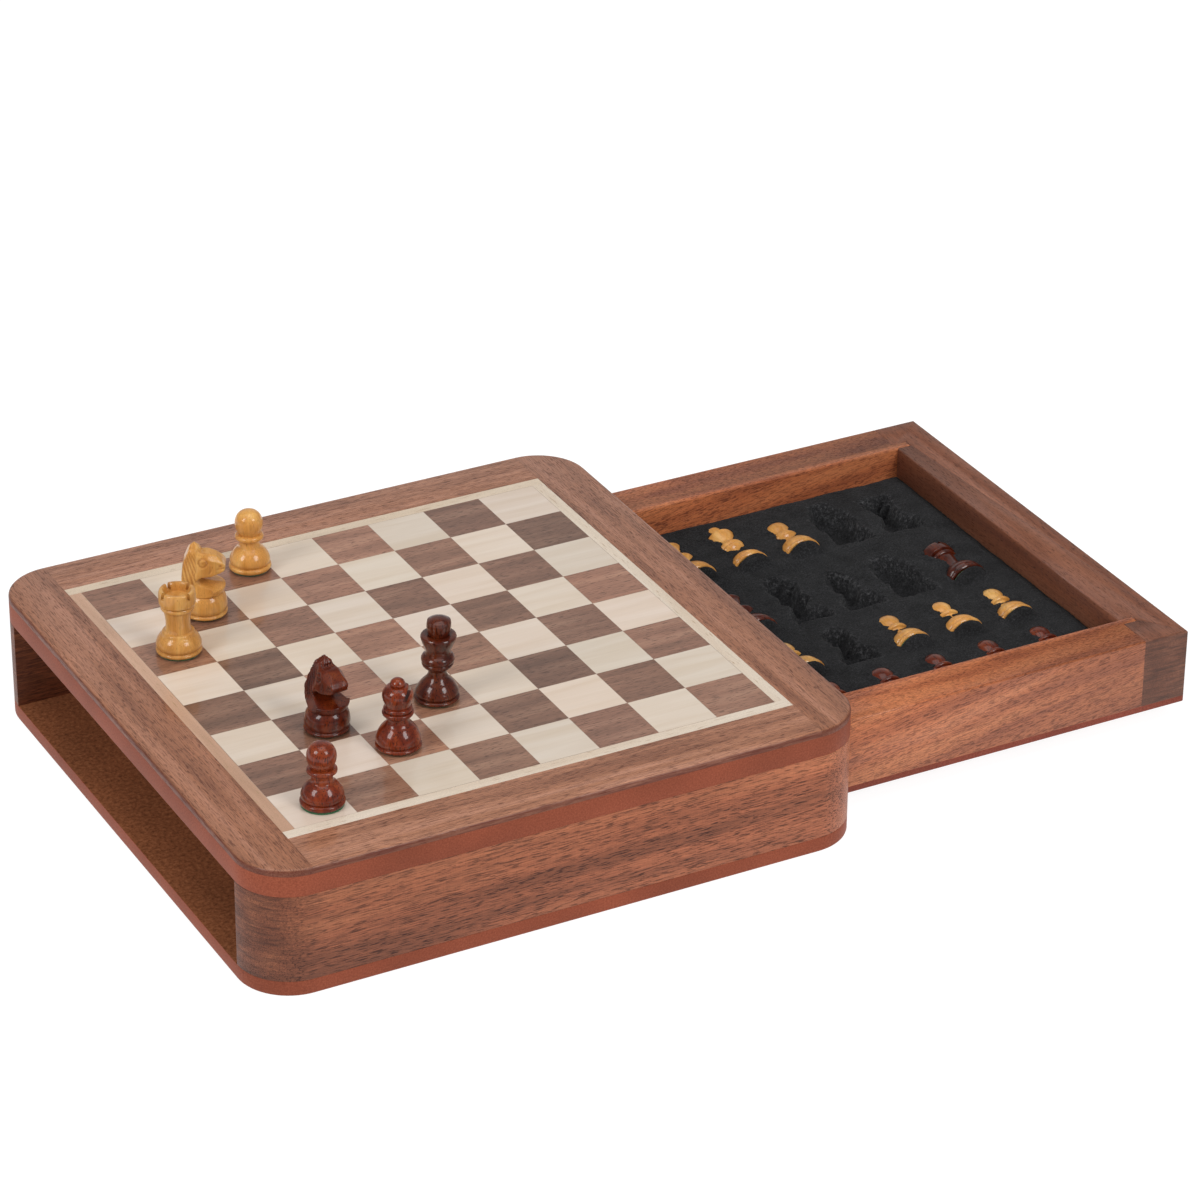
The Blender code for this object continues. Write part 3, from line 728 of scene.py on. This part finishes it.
patterns = {}
for kind, outline in OUTLINES.items():
    turned = spun(kind, BORE + outline)
    if kind == "rook":
        for turn in (14, 104):
            cut_away(turned, cutter_box((12, 1.25, 3), (0, 0, 18.9), (0, 0, turn)))
    if kind == "bishop":
        cut_away(turned, cutter_box((4.2, 9, 1.0), (2.9, 0, 17.2), (0, -62, 0)))
    if kind == "knight":
        alone(turned, horse_head())
        bpy.ops.object.join()
    patterns[kind] = turned
for felt_kind, felt_r in (("felt", 5.3), ("wide_felt", 5.75)):
    patterns[felt_kind] = spun(felt_kind, [
        (0, MAGNET_TOP, "c"), (MAGNET_R, MAGNET_TOP, "c"), (MAGNET_R, FELT_TOP - 0.02, "c"),
        (felt_r - 0.1, FELT_TOP - 0.02, "c"), (felt_r, 0.3), (felt_r - 0.1, 0.06, "c"),
        (0, 0.06, "c")])


def turned_wood(name, tones, pores, pore_share, gloss):
    """Lacquered turned wood whose grain runs up the piece, read from how it was turned."""
    made, shader = new_material(name)
    place = add_node(made, "Attribute", attribute_name="as_turned").outputs["Vector"]
    bands, streaks, dashes = [
        grain(made, place, (width_mm, width_mm, length_mm), detail, Distortion=0.4)
        for length_mm, width_mm, detail in ((22, 3.5, 3), (9, 0.4, 2), (1.7, 0.3, 1))]
    fibre = strengthened(made, toned(made, bands, *zip((0.3, 0.5, 0.7), tones)),
                         between(made, streaks, 0.25, 0.75, 0.86, 1.12))
    threshold = 0.72 - pore_share * 0.3
    wood = mixed(made, between(made, dashes, threshold, threshold + 0.1, 0, 0.85), fibre, pores)
    cut = add_node(made, "Attribute", attribute_name="knife_cut").outputs["Fac"]
    # Painted shade: the carved grooves of mane, eye, nostril, mouth and forelock are darkened toward
    # the pore colour.
    filled = mixed(made, between(made, cut, FILED, 1, 0, 0.6), wood, pores)
    # The per-piece colour factor scales the wood: each piece's own tone, and for dark pieces lying
    # in the tray a painted shade.
    stain_and_shade = add_node(made, "Attribute", attribute_name="stain_and_shade").outputs["Fac"]
    file_marks = worked_out(made, "MULTIPLY", grain(made, place, (0.38, 0.38, 0.67)), cut)
    uneven = relief(made, worked_out(made, "MULTIPLY_ADD", file_marks, 2.0,
                                     grain(made, place, 1.1)), 0.3, 0.12)
    set_shader(shader, base_color=strengthened(made, filled, stain_and_shade), roughness=gloss,
               coat_weight=between(made, cut, 0, FILED, 0.75, 0.35), coat_roughness=0.07,
               coat_ior=1.42, specular_ior_level=0.15, normal=uneven, coat_normal=uneven)
    return made


BOXWOOD = turned_wood("boxwood_gloss_lacquered", ["#bd7f3a", "#d1944b", "#dda95f"], "#ad7035",
                      0.22, 0.34)
RED_ROSEWOOD = turned_wood("red_stained_rosewood_gloss", ["#551a0a", "#742a10", "#8e401c"],
                           "#300f07", 0.55, 0.34)

GREEN_FELT, shader = new_material("green_felt")
hairs = grain(GREEN_FELT, own_place(GREEN_FELT), 0.35, 4.0)
set_shader(shader, base_color=toned(GREEN_FELT, hairs, (0.3, "#1c4a2c"), (0.7, "#3c7a4a")),
           roughness=0.95, sheen_weight=0.4)
NICKEL, shader = new_material("nickel_plated_magnet")
plating = grain(NICKEL, own_place(NICKEL), 0.8)
set_shader(shader, base_color=toned(NICKEL, plating, (0.3, "#b0aca4"), (0.7, "#c9c5bd")),
           metallic=1.0, roughness=0.25)


def placed_copy(pattern, name, placing, offset, stain_and_shade):
    """A copy of a pattern piece at its place, which remembers how it lay on the lathe."""
    mesh = pattern.data.copy()
    made = new_object(name, mesh)
    memory = mesh.attributes.new("as_turned", "FLOAT_VECTOR", "POINT")
    for entry, vert in zip(memory.data, mesh.vertices):
        entry.vector = vert.co + offset
    depth = mesh.attributes.new("stain_and_shade", "FLOAT", "POINT")
    for entry in depth.data:
        entry.value = stain_and_shade
    mesh.transform(placing)
    return made


FACING = {"light_knight_1": -26, "dark_knight_1": -84, "dark_bishop_1": -30}
CROOKED = {"dark_king": (0.031, -0.015, 1), "dark_knight_1": (0.045, -0.022, 0.957)}
# Per-piece colour factors: partly the real tone of each piece's wood and staining, partly painted
# shade, as on dark_rook_1, darkened where it lies shaded in the tray.
STAIN_AND_SHADE = {"dark_king": 0.5, "dark_queen": 0.6, "dark_knight_1": 0.68, "dark_rook_1": 0.45,
         "light_rook_1": 0.94, "light_pawn_4": 1.08, "dark_pawn_6": 1.1, "dark_bishop_1": 1.1}
wood_of = {"light": BOXWOOD, "dark": RED_ROSEWOOD}
chance = random.Random(7)
FOOT_GAP = 0.3 * MM
piece_names = [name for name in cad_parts
               if name.split("_")[0] in wood_of and "magnet" not in name]
for name in sorted(piece_names):
    colour, kind = name.split("_")[:2]
    plug = name + "_magnet_and_felt"
    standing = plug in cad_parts
    low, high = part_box(plug if standing else name)
    centre = (low + high) / 2
    spin = FACING.get(name, 0 if kind == "rook" and standing else chance.uniform(0, 360)
                      if kind != "knight" else 0)
    if standing:
        off_axis = Matrix.Identity(4)
        off_axis[0][2], off_axis[1][2], off_axis[2][2] = CROOKED.get(name, (0, 0, 1))
        placing = Matrix.Translation((centre.x, centre.y, field_high.z)) @ off_axis @ \
            Matrix.Rotation(math.radians(spin), 4, "Z")
    else:
        placing = Matrix.Translation((centre.x, low.y - FOOT_GAP, centre.z)) @ \
            Matrix.Rotation(math.radians(-90), 4, "X") @ \
            Matrix.Rotation(math.radians(spin), 4, "Z")
    offset = Vector([chance.uniform(-1, 1) for _ in range(3)])
    # Dark pieces lying in the tray are painted darker, 0.6 to 0.8, a painted shade from the tray
    # round them; the others vary in their own tone.
    stain_and_shade = STAIN_AND_SHADE.get(name, chance.uniform(0.9, 1.08) if colour == "light" or standing
                      else chance.uniform(0.6, 0.8))
    piece = placed_copy(patterns[kind], name + "_turned", placing, offset, stain_and_shade)
    dress(piece, name, [name], colour + "_wood", wood_of[colour])
    felt_kind = "wide_felt" if name in ("light_rook_1", "dark_pawn_6") else "felt"
    felt = placed_copy(patterns[felt_kind], name + "_felt", placing, offset, stain_and_shade)
    dress(felt, name, [plug] if standing else [], "felted_magnet", GREEN_FELT, NICKEL)
    upright = [entry.vector - offset for entry in felt.data.attributes["as_turned"].data]
    for polygon in felt.data.polygons:
        out_by = max(math.hypot(*upright[i].xy) for i in polygon.vertices)
        on_magnet = out_by < (MAGNET_R + 0.1) * MM and \
            abs(upright[polygon.vertices[0]].z) > 0.4 * MM
        polygon.material_index = 1 if on_magnet else 0
for pattern in patterns.values():
    bpy.data.objects.remove(pattern)

# ---- Plush tray -------------------------------------------------------------------------
# The tray is moulded with a pocket in the shape of each lying piece and covered in charcoal
# flock, whose short pile rounds every edge.  Along the pockets' rims the pile's sheen is painted
# in as pale grey flecks, a painted highlight.
PILE_GRID = 0.46 * MM
PILE = 0.5 * MM
SOFT_LIP = 1.5 * MM
BESIDE = 1.5 * MM
SOFT_WALL = 1.3 * MM
MOUND_LENGTH = 3.2 * MM
FOOT_COVER = 0.05 * MM
POCKET_ROOM = 0.5 * MM
tray_low, tray_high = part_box("piece_tray")
tray_size = tray_high - tray_low
columns, rows = int(tray_size.x / PILE_GRID), int(tray_size.y / PILE_GRID)


def half_widths(kind):
    """How wide a kind is at each half millimetre from its foot."""
    outline = [(r, z) for r, z, *_ in OUTLINES[kind]] if kind != "knight" else \
        [(6.15, 0.5), (6.15, 4), (5.2, 7), (5.9, 9), (5.9, 12), (5.8, 16.5), (4.0, 19.5),
         (2.4, 22.4)]
    top = max(z for _, z in outline)
    widths = []
    for step in range(int(top * 2) + 2):
        level = step / 2
        near = [r for r, z in outline if abs(z - level) < 0.4]
        below = [(r, z) for r, z in outline if z <= level] or [outline[0]]
        above = [(r, z) for r, z in outline if z > level] or [outline[-1]]
        (r0, z0), (r1, z1) = below[-1], above[0]
        on_line = r0 + (r1 - r0) * (level - z0) / (z1 - z0) if z1 > z0 else r0
        widths.append(max(near + [on_line]) * MM)
    return widths


SLOT_PITCH = 17.15 * MM
columns_x = [(tray_low.x + tray_high.x) / 2 + (3.5 - column) * SLOT_PITCH
             for column in range(8)]
ROW_FEET = [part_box(name)[0].y - FOOT_GAP
            for name in ("light_rook_2", "dark_rook_2", "light_pawn_8", "dark_pawn_8")]
OFFICERS = ["rook", "knight", "bishop", "king", "queen", "bishop", "knight", "rook"]
tray_pieces = [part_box(name) for name in piece_names
               if name + "_magnet_and_felt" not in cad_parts]
pockets = []
for foot_y, kinds in zip(ROW_FEET, (OFFICERS, OFFICERS, ["pawn"] * 8, ["pawn"] * 8)):
    for x, kind in zip(columns_x, kinds):
        filled = any(abs((low.x + high.x) / 2 - x) < 2 * MM and abs(low.y - foot_y) < 2 * MM
                     for low, high in tray_pieces)
        pockets.append((x, foot_y, half_widths(kind), kind, filled))
rook_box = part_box("dark_rook_1")
AXIS_DEPTH = tray_high.z - (rook_box[0].z + rook_box[1].z) / 2


def smooth_step(value):
    """Eased from 0 to 1 as the value goes from 0 to 1."""
    value = ramp(value, 0, 1)
    return value * value * (3 - 2 * value)


def flock_level(x, y):
    """How high the flock stands over the tray's face at a place, and how much rougher nap and
    painted sheen the pocket rims give it there.

    Round a piece the pile closes over it and mounds up against its foot.  An empty pocket
    is a hollow with soft sides.
    """
    sunk, raised, fray_and_sheen = 0.0, 0.0, 0.0
    for centre_x, foot_y, widths, kind, filled in pockets:
        across, along = abs(x - centre_x), y - foot_y
        if across > 9 * MM or along < -4 * MM or along > 28 * MM:
            continue
        place = min(max(along / (0.5 * MM), 0), len(widths) - 1.001)
        step = int(place)
        width = widths[step] + (widths[step + 1] - widths[step]) * (place - step)
        length = (len(widths) - 2) * 0.5 * MM
        bowl = AXIS_DEPTH + math.sqrt(max((width + POCKET_ROOM) ** 2 - across ** 2, 0))
        if filled:
            flow = 0.22 * MM * noise.noise(Vector((x, y, 0)) / (1.6 * MM))
            cover = AXIS_DEPTH + PILE + flow
            chord = math.sqrt(max(width ** 2 - cover ** 2, 0))
            inside = min(chord - across, along - FOOT_COVER, length - along)
            sunk = max(sunk, bowl * smooth_step((inside + FOOT_COVER) / (0.45 * MM)))
            beside = 1 - smooth_step((across - width) / BESIDE)
            if 0 <= along <= length:
                raised = max(raised, (PILE + flow) * beside)
            elif along < 0:
                top = math.sqrt(max(widths[0] ** 2 - across ** 2, 0)) - AXIS_DEPTH
                fall = 1 - smooth_step((-along - 0.5 * MM) / MOUND_LENGTH)
                raised = max(raised, (max(top - FOOT_COVER, 0) + PILE * beside) * fall)
            # Near a piece's edge: rougher nap, and pale painted sheen on the flock.
            fray_and_sheen = max(fray_and_sheen, 0.35 * (1 - abs(inside) / (0.8 * MM)))
        else:
            warp = 0.7 * MM * noise.noise(Vector((x, y, 0.01)) / (3.2 * MM))
            inside = min(width - 0.9 * MM - across, along, length - along) + warp
            sunk = max(sunk, 0.85 * bowl * smooth_step((inside + SOFT_LIP) /
                                                       (SOFT_LIP + SOFT_WALL)))
            # Round an empty pocket's lip: rougher nap, and pale painted sheen on the flock.
            fray_and_sheen = max(fray_and_sheen, 1 - abs(inside + 0.4 * MM) / (2.0 * MM))
    return raised - sunk, max(fray_and_sheen, 0.0)


tray = start_mesh("plush_tray", bpy.ops.mesh.primitive_grid_add, x_subdivisions=columns,
                  y_subdivisions=rows, size=1,
                  location=((tray_low.x + tray_high.x) / 2, (tray_low.y + tray_high.y) / 2,
                            tray_high.z))
tray.scale = (tray_size.x, tray_size.y, 1)
bpy.ops.object.transform_apply(location=True, rotation=True, scale=True)
# The rim values roughen the nap below and are kept for the pale painted sheen along the pockets'
# rims.
rim_sheen_marks = []
for vert in tray.data.vertices:
    level, fray_and_sheen = flock_level(vert.co.x, vert.co.y)
    rim_sheen_marks.append(fray_and_sheen)
    edge = min(vert.co.x - tray_low.x, tray_high.x - vert.co.x,
               vert.co.y - tray_low.y, tray_high.y - vert.co.y)
    roll = 0.9 * MM * (1 - smooth_step(edge / (2.2 * MM)))
    swell = 0.45 * MM * noise.noise(vert.co / (10 * MM)) - 0.25 * MM
    nap = (0.14 + 0.25 * fray_and_sheen) * MM * noise.noise(vert.co / (0.75 * MM))
    vert.co.z = tray_high.z + level - roll + min(swell, 0) + nap
bpy.ops.object.mode_set(mode="EDIT")
bpy.ops.mesh.select_mode(type="EDGE")
bpy.ops.mesh.select_all(action="DESELECT")
bpy.ops.mesh.select_non_manifold()
bpy.ops.mesh.extrude_region_move(TRANSFORM_OT_translate={"value": (0, 0, -1 * MM)})
bpy.ops.object.mode_set(mode="OBJECT")
skirt = [vert for vert in tray.data.vertices if vert.select]
for vert in skirt:
    vert.co.z = tray_low.z
bpy.ops.object.mode_set(mode="EDIT")
bpy.ops.mesh.edge_face_add()
bpy.ops.mesh.select_all(action="SELECT")
bpy.ops.mesh.normals_make_consistent(inside=False)
bpy.ops.object.mode_set(mode="OBJECT")
bpy.ops.object.shade_smooth_by_angle(angle=math.radians(60))
marks = tray.data.attributes.new("pocket_rim_sheen", "FLOAT", "POINT")
for index, entry in enumerate(marks.data):
    entry.value = rim_sheen_marks[index] if index < len(rim_sheen_marks) else 0.0

FLOCK, shader = new_material("charcoal_flock")
place = own_place(FLOCK)
pile = grain(FLOCK, place, 0.5, 5.0, Roughness=0.8)
charcoal = toned(FLOCK, pile, (0.34, "#19191a"), (0.52, "#282829"), (0.66, "#3e3e40"))
brushed = between(FLOCK, grain(FLOCK, place, 6, 3.0), 0.3, 0.7, 0.75, 1.2)
# Painted sheen: pale grey flecks mixed into the charcoal along the pockets' rims, where the pile
# would catch the light.
rim = add_node(FLOCK, "Attribute", attribute_name="pocket_rim_sheen").outputs["Fac"]
sheen_flecks = between(FLOCK, grain(FLOCK, place, 1.1, 5.0, Roughness=0.8), 0.5, 0.75, 0, 0.5)
flocked = mixed(FLOCK, worked_out(FLOCK, "MULTIPLY", rim, sheen_flecks),
                strengthened(FLOCK, charcoal, brushed), "#8c8c8e")
set_shader(shader, base_color=flocked, roughness=1.0, sheen_weight=0.04, sheen_roughness=0.5,
           specular_ior_level=0.05, normal=relief(FLOCK, pile, 0.8, 0.35))
dress(tray, "drawer", ["piece_tray"], "plush", FLOCK)

# ---- Floor, lights and camera -----------------------------------------------------------
# A white sweep, two tall soft boxes left and right, a large soft light overhead, and a lit
# backdrop behind the set, which the lacquered tops mirror.
floor = start_mesh("floor", bpy.ops.mesh.primitive_plane_add, size=14,
                   location=(0, 0, -0.05 * MM))
bpy.ops.object.transform_apply(location=True)
WHITE_PAPER, shader = new_material("white_paper")
pulp = grain(WHITE_PAPER, own_place(WHITE_PAPER), 25)
set_shader(shader, base_color=toned(WHITE_PAPER, pulp, (0.3, "#6f6f6f"), (0.7, "#737373")),
           roughness=0.9, emission_color=(1, 1, 1, 1), emission_strength=0.92)
floor.data.materials.append(WHITE_PAPER)


def soft_box(name, place, target, size, watts):
    """A rectangular area light that faces a point."""
    light = bpy.data.lights.new(name, "AREA")
    light.shape = "RECTANGLE"
    light.size, light.size_y = size
    light.energy = watts
    made = new_object(name, light)
    made.location = place
    made.rotation_euler = (Vector(target) - Vector(place)).to_track_quat("-Z", "Y").to_euler()
    return made


soft_box("left_box", (-1.47, -0.30, 1.10), (0, 0, 0), (0.6, 0.8), 13)
soft_box("right_box", (0.55, -1.39, 1.10), (0, 0, 0), (0.6, 0.8), 13)
soft_box("overhead", (0.0, -0.2, 2.2), (0.05, 0, 0), (1.8, 1.8), 15.5)
backdrop = soft_box("backdrop", (0.78, 1.62, 1.0), (0.05, 0, 0), (2.6, 1.8), 4)
backdrop.visible_camera = False

world = bpy.data.worlds.new("studio")
world.use_nodes = True
world.node_tree.nodes["Background"].inputs["Color"].default_value = (1, 1, 1, 1)
world.node_tree.nodes["Background"].inputs["Strength"].default_value = 0.24
bpy.context.scene.world = world
bpy.context.scene.view_settings.view_transform = "Standard"

lens = bpy.data.cameras.new("camera")
lens.sensor_width, lens.lens = 36, 143.5
camera = new_object("camera", lens)
camera.location = (-0.4930, -1.0182, 0.6726)
aim = Vector((0.05535, 0.00086, 0.0375))
level = (aim - camera.location).to_track_quat("-Z", "Y")
camera.rotation_euler = (level.to_matrix() @ Matrix.Rotation(math.radians(0.5), 3, "Z")).to_euler()
bpy.context.scene.camera = camera
